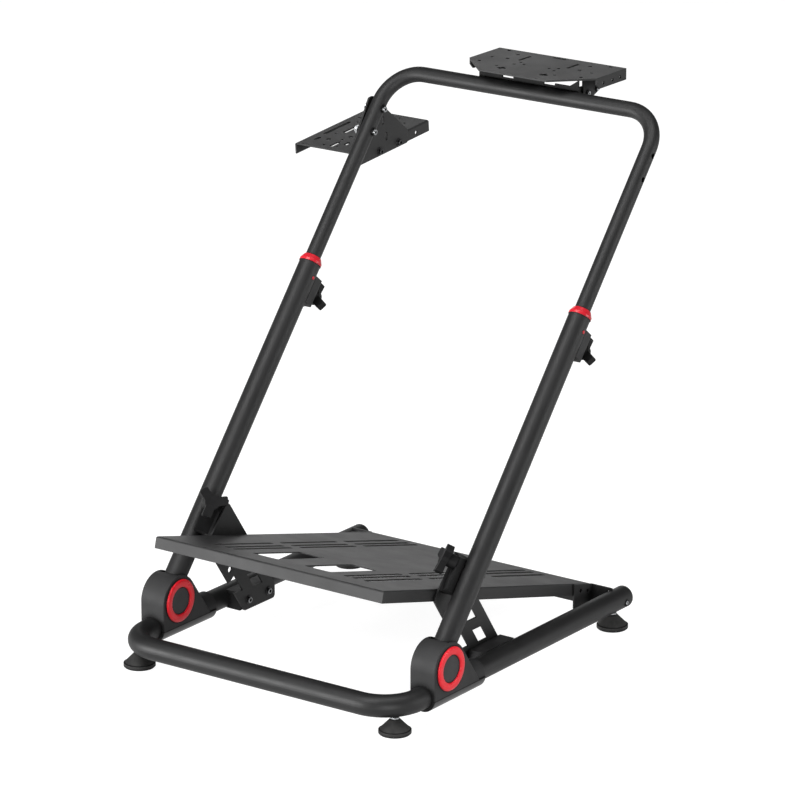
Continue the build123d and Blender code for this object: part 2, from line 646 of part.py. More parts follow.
# Wheel bracket: a notched web along the top bar's rear, with an inner ear at each end for the wheel plate
BAR_Y = LEG_Y + S * BAR_S
BAR_Z = C * BAR_S
WEB_BACK = 7.5  # web's front face behind the bar's centreline
WEB_T = 3.0
WEB_MID_H = 22.0
WEB_END_H = 19.0
WEB_MID_W = 58.0
WEB_NOTCH_W = 21.0
WEB_NOTCH_H = 15.5
WEB_RISE_W = 17.0  # web climbing to each ear
WEB_RISE_H = 11.0
EAR_X = 98.0
EAR_T = 3.0
EAR_R = 12.5
TILT_Y = 29.4
TILT_Z = 6.4
TILT_R = 3.2
LOCK_Y = 26.5  # lock bolt behind and above the tilt bolt
LOCK_Z = 2.5
LOCK_R = 9.0
TILT_RANGE = 20.0
EAR_INSET = 1.0  # inner ear's edges inside the outer ear's
inner_ear_x = EAR_X - EAR_T - RUN_GAP
inner_ear_r = LOCK_R - EAR_INSET
tilt_at = (BAR_Y + TILT_Y, BAR_Z + TILT_Z)
lock_at = (BAR_Y + TILT_Y + LOCK_Y, BAR_Z + TILT_Z + LOCK_Z)
lock_deg = degrees(atan2(LOCK_Z, LOCK_Y))
web_y = BAR_Y + WEB_BACK
web_plane = Plane(
    origin=(MID_X, FRONT_Y + web_y + WEB_T, TUBE_Z + BAR_Z), x_dir=(1, 0, 0), z_dir=(0, -1, 0)
)
with BuildPart() as wheel_bracket:
    with BuildSketch(web_plane):
        with Locations((0, WEB_END_H / 2)):
            Rectangle(2 * inner_ear_x, WEB_END_H)
        with Locations((0, WEB_MID_H / 2)):
            Rectangle(WEB_MID_W, WEB_MID_H)
        for side_name, sign in SIDES:
            with Locations((sign * (WEB_MID_W + WEB_NOTCH_W) / 2, WEB_NOTCH_H + WEB_END_H / 2)):
                Rectangle(WEB_NOTCH_W, WEB_END_H, mode=Mode.SUBTRACT)
            with BuildLine():
                Polyline(
                    (sign * (inner_ear_x - WEB_RISE_W), WEB_END_H),
                    (sign * inner_ear_x, WEB_END_H),
                    (sign * inner_ear_x, WEB_END_H + WEB_RISE_H),
                    close=True,
                )
            make_face()
    extrude(amount=WEB_T)
    for side_name, sign in SIDES:
        with BuildSketch(side_plane(sign * (inner_ear_x - EAR_T / 2))) as inner_ear:
            with BuildLine():
                Polyline(
                    (web_y, BAR_Z),
                    (web_y, BAR_Z + WEB_END_H),
                    (lock_at[0] + inner_ear_r, lock_at[1] + inner_ear_r),
                    (lock_at[0] + inner_ear_r, lock_at[1] - inner_ear_r + EAR_INSET),
                    (tilt_at[0], tilt_at[1] - EAR_R + 2 * EAR_INSET),
                    close=True,
                )
            make_face()
            fillet(inner_ear.vertices().sort_by(Axis.X)[-2:], LOCK_R / 2)
            with Locations(tilt_at, lock_at):
                Circle(TILT_R, mode=Mode.SUBTRACT)
        extrude(amount=EAR_T / 2, both=True)
    with BuildSketch(side_plane(0)):
        with Locations((BAR_Y, BAR_Z)):
            Circle(UPPER_R + ROUND_GAP)
    extrude(amount=HALF, both=True, mode=Mode.SUBTRACT)
save(wheel_bracket.part, "wheel_bracket")

# Wheel plate: level sheet with cut front corners, down-turned sides and two ears that tilt on the bracket
WHEEL_W = 243.0
WHEEL_D = 142.0
WHEEL_FRONT = -38.0  # front edge from the bar's centreline
WHEEL_RISE = 35.2  # top face above the bar's centreline
WHEEL_SHEET = 3.0
WHEEL_FLANGE = 18.5
WHEEL_CHAMFER = 57.0
WHEEL_CORNER = 8.0
WHEEL_HOLE_R = 3.25
WHEEL_SMALL_R = 2.6
WHEEL_OUTER = (194.0, 85.0)  # stated bolt rectangles, across and along
WHEEL_OUTER_Y = 53.4
WHEEL_INNER = (138.0, 30.5)
WHEEL_INNER_Y = 64.7
WHEEL_PAIRS = ((95.0, 44.0), (38.0, 23.0), (36.0, 39.0), (55.0, -1.0), (24.0, 30.0))
WHEEL_SLOT_W = 5.5
WHEEL_SLOT_L = 34.0
WHEEL_SLOT_AT = (46.0, 65.0)
WHEEL_CROSS_L = 16.0
WHEEL_CROSS_AT = (40.0, -9.5)
WHEEL_BACK_L = 26.0
WHEEL_BACK_Y = 95.5
WHEEL_SIDE_HOLES = (38.4, 64.5, 86.0)  # behind the bar's centreline
WHEEL_SIDE_DROP = 11.0
wheel_half = WHEEL_W / 2
wheel_top = TUBE_Z + BAR_Z + WHEEL_RISE
wheel_front = BAR_Y + WHEEL_FRONT
wheel_rear = wheel_front + WHEEL_D
side_front = wheel_front + WHEEL_CHAMFER
with BuildPart() as wheel_plate:
    with BuildSketch(floor_plane(wheel_top)):
        with BuildLine():
            Polyline(
                (-wheel_half, wheel_rear),
                (wheel_half, wheel_rear),
                (wheel_half, side_front),
                (wheel_half - WHEEL_CHAMFER, wheel_front),
                (WHEEL_CHAMFER - wheel_half, wheel_front),
                (-wheel_half, side_front),
                close=True,
            )
        make_face()
    extrude(amount=-WHEEL_SHEET)
    for side_name, sign in SIDES:
        with BuildSketch(side_plane(sign * (wheel_half - WHEEL_SHEET / 2))) as side_face:
            with Locations(((side_front + wheel_rear) / 2, BAR_Z + WHEEL_RISE - WHEEL_FLANGE / 2)):
                Rectangle(wheel_rear - side_front, WHEEL_FLANGE)
            chamfer(side_face.vertices().group_by(Axis.Y)[0].sort_by(Axis.X)[0], WHEEL_CORNER)
            for hole_y in WHEEL_SIDE_HOLES:
                with Locations((BAR_Y + hole_y, BAR_Z + WHEEL_RISE - WHEEL_SIDE_DROP)):
                    Circle(WHEEL_SMALL_R, mode=Mode.SUBTRACT)
        extrude(amount=WHEEL_SHEET / 2, both=True)
        with BuildSketch(side_plane(sign * (EAR_X - EAR_T / 2))) as ear_face:
            with BuildLine():
                Polyline(
                    (tilt_at[0] - EAR_R, BAR_Z + WHEEL_RISE - WHEEL_SHEET / 2),
                    (tilt_at[0] - EAR_R, tilt_at[1] - EAR_R),
                    (tilt_at[0] + EAR_R / 3, tilt_at[1] - EAR_R),
                    (lock_at[0] + LOCK_R, lock_at[1] - LOCK_R / 3),
                    (lock_at[0] + LOCK_R, BAR_Z + WHEEL_RISE - WHEEL_SHEET / 2),
                    close=True,
                )
            make_face()
            fillet(ear_face.vertices().group_by(Axis.Y)[0].sort_by(Axis.X)[0], EAR_R * 0.9)
            with Locations(tilt_at):
                Circle(TILT_R, mode=Mode.SUBTRACT)
            lock_track = CenterArc(tilt_at, hypot(LOCK_Y, LOCK_Z), lock_deg, TILT_RANGE)
            SlotArc(lock_track, 2 * TILT_R, mode=Mode.SUBTRACT)
        extrude(amount=EAR_T / 2, both=True)
    with BuildSketch(floor_plane(wheel_top)):
        with Locations((0, BAR_Y + WHEEL_OUTER_Y)):
            with GridLocations(WHEEL_OUTER[0], WHEEL_OUTER[1], 2, 2):
                Circle(WHEEL_HOLE_R)
        with Locations((0, BAR_Y + WHEEL_INNER_Y)):
            with GridLocations(WHEEL_INNER[0], WHEEL_INNER[1], 2, 2):
                Circle(WHEEL_HOLE_R)
        for side_name, sign in SIDES:
            for pair_x, pair_y in WHEEL_PAIRS:
                with Locations((sign * pair_x, BAR_Y + pair_y)):
                    Circle(WHEEL_SMALL_R)
            with Locations((sign * WHEEL_SLOT_AT[0], BAR_Y + WHEEL_SLOT_AT[1])):
                SlotOverall(WHEEL_SLOT_L, WHEEL_SLOT_W, rotation=90)
            with Locations((sign * WHEEL_CROSS_AT[0], BAR_Y + WHEEL_CROSS_AT[1])):
                SlotOverall(WHEEL_CROSS_L, WHEEL_SLOT_W)
                SlotOverall(WHEEL_CROSS_L, WHEEL_SLOT_W, rotation=90)
        with Locations((0, BAR_Y + WHEEL_BACK_Y)):
            SlotOverall(WHEEL_BACK_L, WHEEL_SLOT_W)
    extrude(amount=-WHEEL_SHEET, mode=Mode.SUBTRACT)
save(wheel_plate.part, "wheel_plate")

# Shifter bracket: pierced plate bolted to the outside of the left leg, square to the shifter plate's sheet
SHIFTER_L = 196.0
SHIFTER_DEG = 4.8
SHIFTER_Y = 640.0
SHIFTER_Z = 638.1
SHIFTER_FLANGE = 18.4
BRACKET_T = 3.0
BRACKET_FRONT = -43.7  # along the sheet from its front edge
BRACKET_REAR = 132.5
BRACKET_REAR_H = 3.0
BRACKET_PEAK = 39.0
BRACKET_PEAK_H = 86.0
BRACKET_PEAK_W = 11.0
BRACKET_ROUND = 5.0
BRACKET_SLOT_L = 14.0
BRACKET_SLOT_W = 6.0
BRACKET_SLOTS = ((67.0, 38.0), (74.0, 9.0))
BRACKET_BOLTS = (53.4, 106.2)
BRACKET_BOLT_DROP = 10.8
BRACKET_BOLT_R = 3.2
bracket_out = HALF + UPPER_R + SEAT_GAP + BRACKET_T
shifter_cos = cos(radians(SHIFTER_DEG))
shifter_sin = sin(radians(SHIFTER_DEG))


def shifter_side(x):
    """Upright plane at the shifter sheet's front edge: local x runs back along it, local y up from it."""
    origin = (MID_X + x, FRONT_Y + SHIFTER_Y, TUBE_Z + SHIFTER_Z)
    return Plane(origin=origin, x_dir=(0, shifter_cos, shifter_sin), z_dir=(1, 0, 0))


with BuildPart() as shifter_bracket:
    with BuildSketch(shifter_side(-bracket_out)) as bracket_face:
        with BuildLine():
            Polyline(
                (BRACKET_FRONT, -SHIFTER_FLANGE),
                (BRACKET_PEAK - BRACKET_PEAK_W / 2, BRACKET_PEAK_H),
                (BRACKET_PEAK + BRACKET_PEAK_W / 2, BRACKET_PEAK_H),
                (BRACKET_REAR, BRACKET_REAR_H),
                (BRACKET_REAR, -SHIFTER_FLANGE),
                close=True,
            )
        make_face()
        fillet(bracket_face.vertices(), BRACKET_ROUND)
        with Locations(*BRACKET_SLOTS):
            SlotOverall(BRACKET_SLOT_L, BRACKET_SLOT_W, rotation=90, mode=Mode.SUBTRACT)
        with Locations(*((bolt, -BRACKET_BOLT_DROP) for bolt in BRACKET_BOLTS)):
            Circle(BRACKET_BOLT_R, mode=Mode.SUBTRACT)
    extrude(amount=BRACKET_T)
    with BuildSketch(leg_plane(-bracket_out)):
        with Locations(*((0, along) for along in LEG_HOLES)):
            Circle(LEG_HOLE_R)
    extrude(amount=BRACKET_T, mode=Mode.SUBTRACT)
save(shifter_bracket.part, "shifter_bracket")

# Shifter plate: sheet with two down-turned sides and a field of slots, bolted to the bracket
SHIFTER_W = 127.4
SHIFTER_SHEET = 2.5
SHIFTER_BEND = 3.0
SHIFTER_SLOT_W = 6.5
SHIFTER_HOLE_R = 4.0
SHIFTER_SMALL_R = 2.2
SHIFTER_SLOTS = (
    (111.0, 94.0, 72.0),
    (86.5, 95.0, 32.0),
    (64.5, 24.0, 26.0),
    (48.0, 35.0, 14.0),
    (107.5, 35.0, 16.0),
)
SHIFTER_HOLES = ((89.0, 40.0), (64.0, 67.0))
SHIFTER_DOTS = (
    (79.5, 14.0),
    (54.5, 15.0),
    (68.0, 49.5),
    (96.0, 70.0),
    (98.5, 134.0),
    (110.0, 155.0),
    (48.5, 183.0),
    (26.5, 165.0),
)
SHIFTER_SIDE_HOLE = 160.0
shifter_edge = bracket_out + SEAT_GAP
shifter_top = Plane(
    origin=(MID_X - shifter_edge, FRONT_Y + SHIFTER_Y, TUBE_Z + SHIFTER_Z),
    x_dir=(-1, 0, 0),
    z_dir=(0, shifter_sin, -shifter_cos),
)
with BuildPart() as shifter_plate:
    sheet_end = Plane(origin=shifter_top.origin, x_dir=(-1, 0, 0), z_dir=(0, shifter_cos, shifter_sin))
    with BuildSketch(sheet_end) as channel:
        with BuildLine():
            Polyline(
                (0, -SHIFTER_FLANGE),
                (0, 0),
                (SHIFTER_W, 0),
                (SHIFTER_W, -SHIFTER_FLANGE),
                (SHIFTER_W - SHIFTER_SHEET, -SHIFTER_FLANGE),
                (SHIFTER_W - SHIFTER_SHEET, -SHIFTER_SHEET),
                (SHIFTER_SHEET, -SHIFTER_SHEET),
                (SHIFTER_SHEET, -SHIFTER_FLANGE),
                close=True,
            )
        make_face()
        fillet(channel.vertices().group_by(Axis.Y)[-1], SHIFTER_BEND)
    extrude(amount=SHIFTER_L)
    with BuildSketch(shifter_top):
        for slot_x, slot_y, slot_l in SHIFTER_SLOTS:
            with Locations((slot_x, slot_y)):
                SlotOverall(slot_l, SHIFTER_SLOT_W, rotation=90)
        with Locations(*SHIFTER_HOLES):
            Circle(SHIFTER_HOLE_R)
        with Locations(*SHIFTER_DOTS):
            Circle(SHIFTER_SMALL_R)
    extrude(amount=SHIFTER_SHEET, mode=Mode.SUBTRACT)
    with BuildSketch(shifter_side(-shifter_edge)):
        with Locations(*((bolt, -BRACKET_BOLT_DROP) for bolt in (*BRACKET_BOLTS, SHIFTER_SIDE_HOLE))):
            Circle(BRACKET_BOLT_R)
    extrude(amount=-SHIFTER_SHEET, mode=Mode.SUBTRACT)
save(shifter_plate.part, "shifter_plate")
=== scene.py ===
"""Folding racing wheel stand: finishes for its tubes, sheets and mouldings, and its fasteners."""

import math

import bpy
import numpy as np
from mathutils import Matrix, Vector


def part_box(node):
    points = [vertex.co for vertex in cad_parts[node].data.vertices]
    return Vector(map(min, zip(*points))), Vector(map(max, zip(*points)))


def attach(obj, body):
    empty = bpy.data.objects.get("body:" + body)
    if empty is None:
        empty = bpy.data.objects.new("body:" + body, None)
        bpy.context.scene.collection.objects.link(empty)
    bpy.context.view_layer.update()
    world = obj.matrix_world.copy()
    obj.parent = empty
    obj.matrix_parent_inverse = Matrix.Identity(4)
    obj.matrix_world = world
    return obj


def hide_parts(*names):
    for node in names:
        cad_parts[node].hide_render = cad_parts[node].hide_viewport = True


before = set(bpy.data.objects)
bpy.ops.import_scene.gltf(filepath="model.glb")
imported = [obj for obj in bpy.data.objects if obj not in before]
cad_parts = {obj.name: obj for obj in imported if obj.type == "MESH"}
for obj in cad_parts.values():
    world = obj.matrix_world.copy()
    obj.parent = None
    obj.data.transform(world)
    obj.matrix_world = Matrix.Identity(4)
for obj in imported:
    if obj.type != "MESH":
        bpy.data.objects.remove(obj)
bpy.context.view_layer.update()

# Base frame, uprights and upper U: steel tubes bent cold and powder coated satin black.
# The coat has a fine orange peel, its gloss drifts from place to place, and it thins where edges rub.
# Where pieces meet and in slots and inside corners, painted shade darkens it, and it is rougher there.
TUBE_TONE = (0.007, 0.007, 0.0072)
TUBE_RUBBED = (0.028, 0.028, 0.029)
TUBE_GLOSS = 0.51
TUBE_SHINE = 0.69
TUBE_PEEL = 0.0011
TUBE_LIFT = 0.00005
TUBE_EDGE = 0.0006
TUBE_NOOK = 0.012
SHADE_AND_SEAM_TONE = (0.003, 0.003, 0.003)
SHADE_AND_SEAM_ROUGH = 0.25
FULL_SHINE = 0.5  # the shader's own level
EDGE_SAMPLES = 6
EDGE_LEANT, EDGE_FLAT = 0.80, 0.985
NOOK_SAMPLES = 8
NOOK_SHUT, NOOK_OPEN = 0.60, 0.92
DRIFT_SIZE = 0.055
DRIFT_DOWN, DRIFT_UP = 0.035, 0.045
FADED_MOST = 0.10
PATCH_SIZE = 0.006
WORN_LEAST, WORN_MOST = 0.15, 0.75
WORN_SMOOTHER = -0.08


def shader_of(finish):
    """The main shader of a new material with nodes, and the tree that it is in."""
    material = bpy.data.materials.new(finish)
    material.use_nodes = True
    return material, material.node_tree, material.node_tree.nodes["Principled BSDF"]


def noise(tree, size, detail=2.0, rough=0.5):
    """A noise over object coordinates whose cells are about as large as size, in metres."""
    place = tree.nodes.new("ShaderNodeTexCoord")
    cells = tree.nodes.new("ShaderNodeTexNoise")
    cells.inputs["Scale"].default_value = 1.0 / size
    cells.inputs["Detail"].default_value = detail
    cells.inputs["Roughness"].default_value = rough
    tree.links.new(place.outputs["Object"], cells.inputs["Vector"])
    return cells.outputs["Fac"]


def spread(tree, value, low, high, start=0.3, end=0.7):
    """Carries a value from the range start to end onto the range low to high, held at both ends."""
    scale = tree.nodes.new("ShaderNodeMapRange")
    for socket, number in zip(("From Min", "From Max", "To Min", "To Max"), (start, end, low, high)):
        scale.inputs[socket].default_value = number
    tree.links.new(value, scale.inputs["Value"])
    return scale.outputs["Result"]


def feed(tree, socket, value):
    """Sets a socket to a number, or to a colour without its alpha, or links another socket to it."""
    if isinstance(value, tuple):
        socket.default_value = (*value, 1)
    elif isinstance(value, float):
        socket.default_value = value
    else:
        tree.links.new(value, socket)


def combine(tree, kind, first, second):
    """One arithmetic step on two values, each a socket or a number."""
    step = tree.nodes.new("ShaderNodeMath")
    step.operation = kind
    feed(tree, step.inputs[0], first)
    feed(tree, step.inputs[1], second)
    return step.outputs["Value"]


def two_tones(tree, share, plain, other):
    """Mixes two colours by a share between 0 and 1."""
    mix = tree.nodes.new("ShaderNodeMix")
    mix.data_type = "RGBA"
    feed(tree, mix.inputs["A"], plain)
    feed(tree, mix.inputs["B"], other)
    tree.links.new(share, mix.inputs["Factor"])
    return mix.outputs["Result"]


def edge_round(tree, radius):
    """The normal of edges rounded to a radius, and its lean from the face: 0 on a flat, 1 on an edge."""
    bevel = tree.nodes.new("ShaderNodeBevel")
    bevel.samples = EDGE_SAMPLES
    bevel.inputs["Radius"].default_value = radius
    face = tree.nodes.new("ShaderNodeNewGeometry")
    lean = tree.nodes.new("ShaderNodeVectorMath")
    lean.operation = "DOT_PRODUCT"
    tree.links.new(bevel.outputs["Normal"], lean.inputs[0])
    tree.links.new(face.outputs["Normal"], lean.inputs[1])
    return bevel.outputs["Normal"], spread(tree, lean.outputs["Value"], 1.0, 0.0, EDGE_LEANT, EDGE_FLAT)


def nook(tree, reach):
    """How shut in a place is by what lies within reach: 0 in the open, 1 in a slot or an inside corner; it
    masks painted shade.
    """
    shut = tree.nodes.new("ShaderNodeAmbientOcclusion")
    shut.samples = NOOK_SAMPLES
    shut.inputs["Distance"].default_value = reach
    return spread(tree, shut.outputs["AO"], 1.0, 0.0, NOOK_SHUT, NOOK_OPEN)


def lift(tree, shader, height, depth, normal):
    """Raises the surface by a height field of some depth, over the rounded edges' normal."""
    bump = tree.nodes.new("ShaderNodeBump")
    bump.inputs["Strength"].default_value = 1.0
    bump.inputs["Distance"].default_value = depth
    tree.links.new(height, bump.inputs["Height"])
    tree.links.new(normal, bump.inputs["Normal"])
    tree.links.new(bump.outputs["Normal"], shader.inputs["Normal"])


def coat(tree, shader, colour, rough, shine, shade_and_seam):
    """A coat of a colour, a roughness and a share of full shine, which a mask of painted shade, with any
    dark parting line, darkens and roughens.
    """
    tree.links.new(two_tones(tree, shade_and_seam, colour, SHADE_AND_SEAM_TONE), shader.inputs["Base Color"])
    rougher = combine(tree, "MULTIPLY", shade_and_seam, SHADE_AND_SEAM_ROUGH)
    tree.links.new(combine(tree, "ADD", rough, rougher), shader.inputs["Roughness"])
    shader.inputs["Specular IOR Level"].default_value = FULL_SHINE * shine


def powder_coat(finish, tone, rubbed, gloss, shine, peel, peel_lift, edge, reach):
    """Powder coat: a fine noise for the peel, a broad one for gloss and tone, paler on rubbed edges."""
    material, tree, shader = shader_of(finish)
    normal, on_edge = edge_round(tree, edge)
    broad = noise(tree, DRIFT_SIZE, detail=4.0, rough=0.6)
    patchy = spread(tree, noise(tree, PATCH_SIZE, detail=3.0), WORN_LEAST, WORN_MOST)
    worn = combine(tree, "MULTIPLY", on_edge, patchy)
    share = combine(tree, "MAXIMUM", worn, spread(tree, broad, 0.0, FADED_MOST))
    drift = spread(tree, broad, gloss - DRIFT_DOWN, gloss + DRIFT_UP)
    rough = combine(tree, "ADD", drift, combine(tree, "MULTIPLY", worn, WORN_SMOOTHER))
    # painted shade: the coat darkens in slots, inside corners and under other pieces
    coat(tree, shader, two_tones(tree, share, tone, rubbed), rough, shine, nook(tree, reach))
    lift(tree, shader, noise(tree, peel), peel_lift, normal)
    return material


def dress(names, material):
    """Gives the named solids a finish."""
    for name in names:
        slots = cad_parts[name].data.materials
        slots.clear()
        slots.append(material)


tube_paint = powder_coat(
    "tube_paint", TUBE_TONE, TUBE_RUBBED, TUBE_GLOSS, TUBE_SHINE, TUBE_PEEL, TUBE_LIFT, TUBE_EDGE, TUBE_NOOK
)
dress(["base_frame", "lower_upright_left", "lower_upright_right", "upper_frame"], tube_paint)

# Pedal plate, struts, brackets, wheel and shifter plates: laser-cut sheet steel, folded and powder coated.
# Their coat is a shade greyer and finer than the tubes', with rubbed edges round slots and folds,
# and the slots' walls and inside corners are darkened with painted shade.
SHEET_TONE = (0.020, 0.020, 0.0203)
SHEET_RUBBED = (0.060, 0.060, 0.060)
SHEET_GLOSS = 0.50
SHEET_SHINE = 0.45
SHEET_PEEL = 0.0007
SHEET_LIFT = 0.00004
SHEET_EDGE = 0.0007
SHEET_NOOK = 0.025
sheet_paint = powder_coat(
    "sheet_paint", SHEET_TONE, SHEET_RUBBED, SHEET_GLOSS, SHEET_SHINE,
    SHEET_PEEL, SHEET_LIFT, SHEET_EDGE, SHEET_NOOK,
)
SHEETS = ["pedal_plate", "wheel_bracket", "wheel_plate", "shifter_bracket", "shifter_plate"]
SIDES = ("left", "right")
dress(SHEETS + [f"{piece}_{side}" for piece in ("strut", "rear_bracket") for side in SIDES], sheet_paint)

# Housings, saddles, blocks, knobs and end plugs: glass-filled nylon moulded in textured tools.
# The spark-eroded grain is a little shinier where it is polished; knobs and clamp blocks are blackest.
# A dark parting line runs round each housing where its half sleeve closes under the rail.
PLASTIC_TONE = (0.018, 0.018, 0.0185)
PLASTIC_POLISHED = (0.028, 0.028, 0.029)
PLASTIC_GLOSS = 0.60
PLASTIC_SHINE = 0.60
PLASTIC_GRAIN = 0.0006
PLASTIC_LIFT = 0.00006
PLASTIC_EDGE = 0.0009
PLASTIC_NOOK = 0.015
SLEEVE_GLOSS = 0.34
KNOB_TONE = (0.006, 0.006, 0.0062)
KNOB_POLISHED = (0.014, 0.014, 0.0145)
KNOB_SHINE = 0.28
HOUSING_TONE = (0.022, 0.022, 0.0225)
HOUSING_POLISHED = (0.032, 0.032, 0.033)
HOUSING_SHINE = 0.44
PARTING_Z = 0.0405
PARTING_HALF = 0.0013
MOULD_DRIFT_SIZE = 0.03
MOULD_DRIFT_TONE = 0.35
MOULD_DRIFT_GLOSS = 0.05
COARSE_PITS = 2.7


def parting_line(tree, height, half):
    """A level line: 1 at a height of the object, falling to 0 at half its width above and below."""
    place = tree.nodes.new("ShaderNodeTexCoord")
    parts = tree.nodes.new("ShaderNodeSeparateXYZ")
    tree.links.new(place.outputs["Object"], parts.inputs["Vector"])
    away = combine(tree, "ABSOLUTE", combine(tree, "SUBTRACT", parts.outputs["Z"], height), 0.0)
    return spread(tree, away, 1.0, 0.0, half / 2, half)


def moulded(finish, tone, polished, gloss, shine, grain, grain_lift, edge, reach, parting=None):
    """Moulded plastic: a grain of small pits from two noises, with gloss and tone that drift."""
    material, tree, shader = shader_of(finish)
    normal, on_edge = edge_round(tree, edge)
    broad = noise(tree, MOULD_DRIFT_SIZE, detail=3.0)
    share = combine(tree, "MAXIMUM", spread(tree, broad, 0.0, MOULD_DRIFT_TONE), on_edge)
    # painted shade in slots and inside corners, with the dark parting line added where there is one
    shade_and_seam = nook(tree, reach)
    if parting:
        shade_and_seam = combine(tree, "MAXIMUM", shade_and_seam, parting_line(tree, *parting))
    rough = spread(tree, broad, gloss + MOULD_DRIFT_GLOSS, gloss - MOULD_DRIFT_GLOSS)
    coat(tree, shader, two_tones(tree, share, tone, polished), rough, shine, shade_and_seam)
    fine = noise(tree, grain, detail=3.0, rough=0.6)
    coarse = noise(tree, grain * COARSE_PITS, detail=1.0)
    lift(tree, shader, combine(tree, "ADD", fine, coarse), grain_lift, normal)
    return material


NYLON = (PLASTIC_GRAIN, PLASTIC_LIFT, PLASTIC_EDGE, PLASTIC_NOOK)
PARTING = (PARTING_Z, PARTING_HALF)
black_plastic = moulded(
    "black_plastic", PLASTIC_TONE, PLASTIC_POLISHED, PLASTIC_GLOSS, PLASTIC_SHINE, *NYLON
)
housing_plastic = moulded(
    "housing_plastic", HOUSING_TONE, HOUSING_POLISHED, PLASTIC_GLOSS, HOUSING_SHINE, *NYLON, parting=PARTING
)
sleeve_plastic = moulded(
    "sleeve_plastic", PLASTIC_TONE, PLASTIC_POLISHED, SLEEVE_GLOSS, PLASTIC_SHINE, *NYLON, parting=PARTING
)
knob_plastic = moulded("knob_plastic", KNOB_TONE, KNOB_POLISHED, PLASTIC_GLOSS, KNOB_SHINE, *NYLON)
MOULDED = ("rail_plug", "knob_saddle", "rail_block")
KNOBS = ("height_knob", "clamp_block", "clamp_knob")
dress([f"{piece}_{side}" for piece in MOULDED for side in SIDES], black_plastic)
dress([f"{piece}_{side}" for piece in KNOBS for side in SIDES], knob_plastic)
dress([f"housing_{side}" for side in SIDES], housing_plastic)
dress([f"half_sleeve_{side}" for side in SIDES], sleeve_plastic)

# Hinge rings and collars: red moulded trim, pressed on the housings and into the tube tops.
# The rings are crowned, so light rolls over them from edge to edge.
RED_TONE = (0.80, 0.010, 0.023)
RED_POLISHED = (0.86, 0.022, 0.037)
# The collars' red, which the pegs share, is a darker copy of the rings' red: painted shade that offsets the
# stronger light on the collars.
COLLAR_SHADED_TONE = (0.48, 0.010, 0.020)
COLLAR_SHADED_POLISHED = (0.56, 0.028, 0.040)
RED_GLOSS = 0.30
RED_SHINE = 0.65
RED_GRAIN = 0.0012
RED_LIFT = 0.00002
COLLAR_EDGE = 0.0008
RING_CROWN = 0.0065
RED_NOOK = 0.004
RED_FACE = (RED_GLOSS, RED_SHINE, RED_GRAIN, RED_LIFT)
red_collar = moulded("red_collar", COLLAR_SHADED_TONE, COLLAR_SHADED_POLISHED, *RED_FACE, COLLAR_EDGE, RED_NOOK)
red_ring = moulded("red_ring", RED_TONE, RED_POLISHED, *RED_FACE, RING_CROWN, RED_NOOK)
dress([f"collar_{side}" for side in SIDES], red_collar)
dress([f"hinge_ring_{side}_{face}" for side in SIDES for face in ("outer", "inner")], red_ring)

# Feet: moulded rubber pads that swivel on threaded studs.
# The rubber is dusty in patches and scuffed along its edges, with a dark line round the rim and painted
# shade in its nooks.
RUBBER_TONE = (0.012, 0.012, 0.012)
RUBBER_SCUFFED = (0.075, 0.073, 0.070)
RUBBER_GLOSS = 0.66
RUBBER_SHINE = 0.49
RUBBER_GRAIN = 0.0009
RUBBER_LIFT = 0.00010
RUBBER_EDGE = 0.0008
RUBBER_NOOK = 0.006
RIM_Z = 0.0073
RIM_HALF = 0.0008
CORNERS = ("front_left", "front_right", "rear_left", "rear_right")
foot_rubber = moulded(
    "foot_rubber", RUBBER_TONE, RUBBER_SCUFFED, RUBBER_GLOSS, RUBBER_SHINE,
    RUBBER_GRAIN, RUBBER_LIFT, RUBBER_EDGE, RUBBER_NOOK, parting=(RIM_Z, RIM_HALF),
)
dress([f"foot_pad_{corner}" for corner in CORNERS], foot_rubber)

# Foot studs and pivot pins: zinc-plated steel, bright with a faint turned grain.
# The studs are threaded over their whole length, so a threaded skin stands for each plain solid.
ZINC_TONE = (0.52, 0.53, 0.54)
ZINC_DULL = (0.33, 0.34, 0.35)
ZINC_GLOSS = 0.32
ZINC_EDGE = 0.0003
BLACKING_AND_SHADE_TONE = (0.012, 0.012, 0.012)
THREAD_PITCH = 0.00125
THREAD_DEPTH = 0.00065
THREAD_STEPS = 8
THREAD_SHARP = 60
STREAK_SIZE = 0.0025
STREAK_DOWN, STREAK_UP = 0.06, 0.10
SCRATCH_SIZE = 0.0005
SCRATCH_LIFT = 0.00001
STEPS_ROUND = 48


def plated_steel(finish, bright, dull, gloss):
    """Plated steel: a metal whose tone and gloss drift over a streaky noise, with fine scratches in the
    normal. Where the mesh marks it dark, it is dark: blackened heads and washers, and painted shade in
    sockets and recesses."""
    material, tree, shader = shader_of(finish)
    normal, on_edge = edge_round(tree, ZINC_EDGE)
    streaks = noise(tree, STREAK_SIZE, detail=4.0, rough=0.65)
    drift = two_tones(tree, spread(tree, streaks, 0.0, 1.0), bright, dull)
    blacking_and_shade = tree.nodes.new("ShaderNodeAttribute")
    blacking_and_shade.attribute_name = "blacking_and_shade"
    tree.links.new(two_tones(tree, blacking_and_shade.outputs["Fac"], drift, BLACKING_AND_SHADE_TONE), shader.inputs["Base Color"])
    rough = spread(tree, streaks, gloss - STREAK_DOWN, gloss + STREAK_UP)
    tree.links.new(rough, shader.inputs["Roughness"])
    shader.inputs["Metallic"].default_value = 1.0
    lift(tree, shader, noise(tree, SCRATCH_SIZE), SCRATCH_LIFT, normal)
    return material


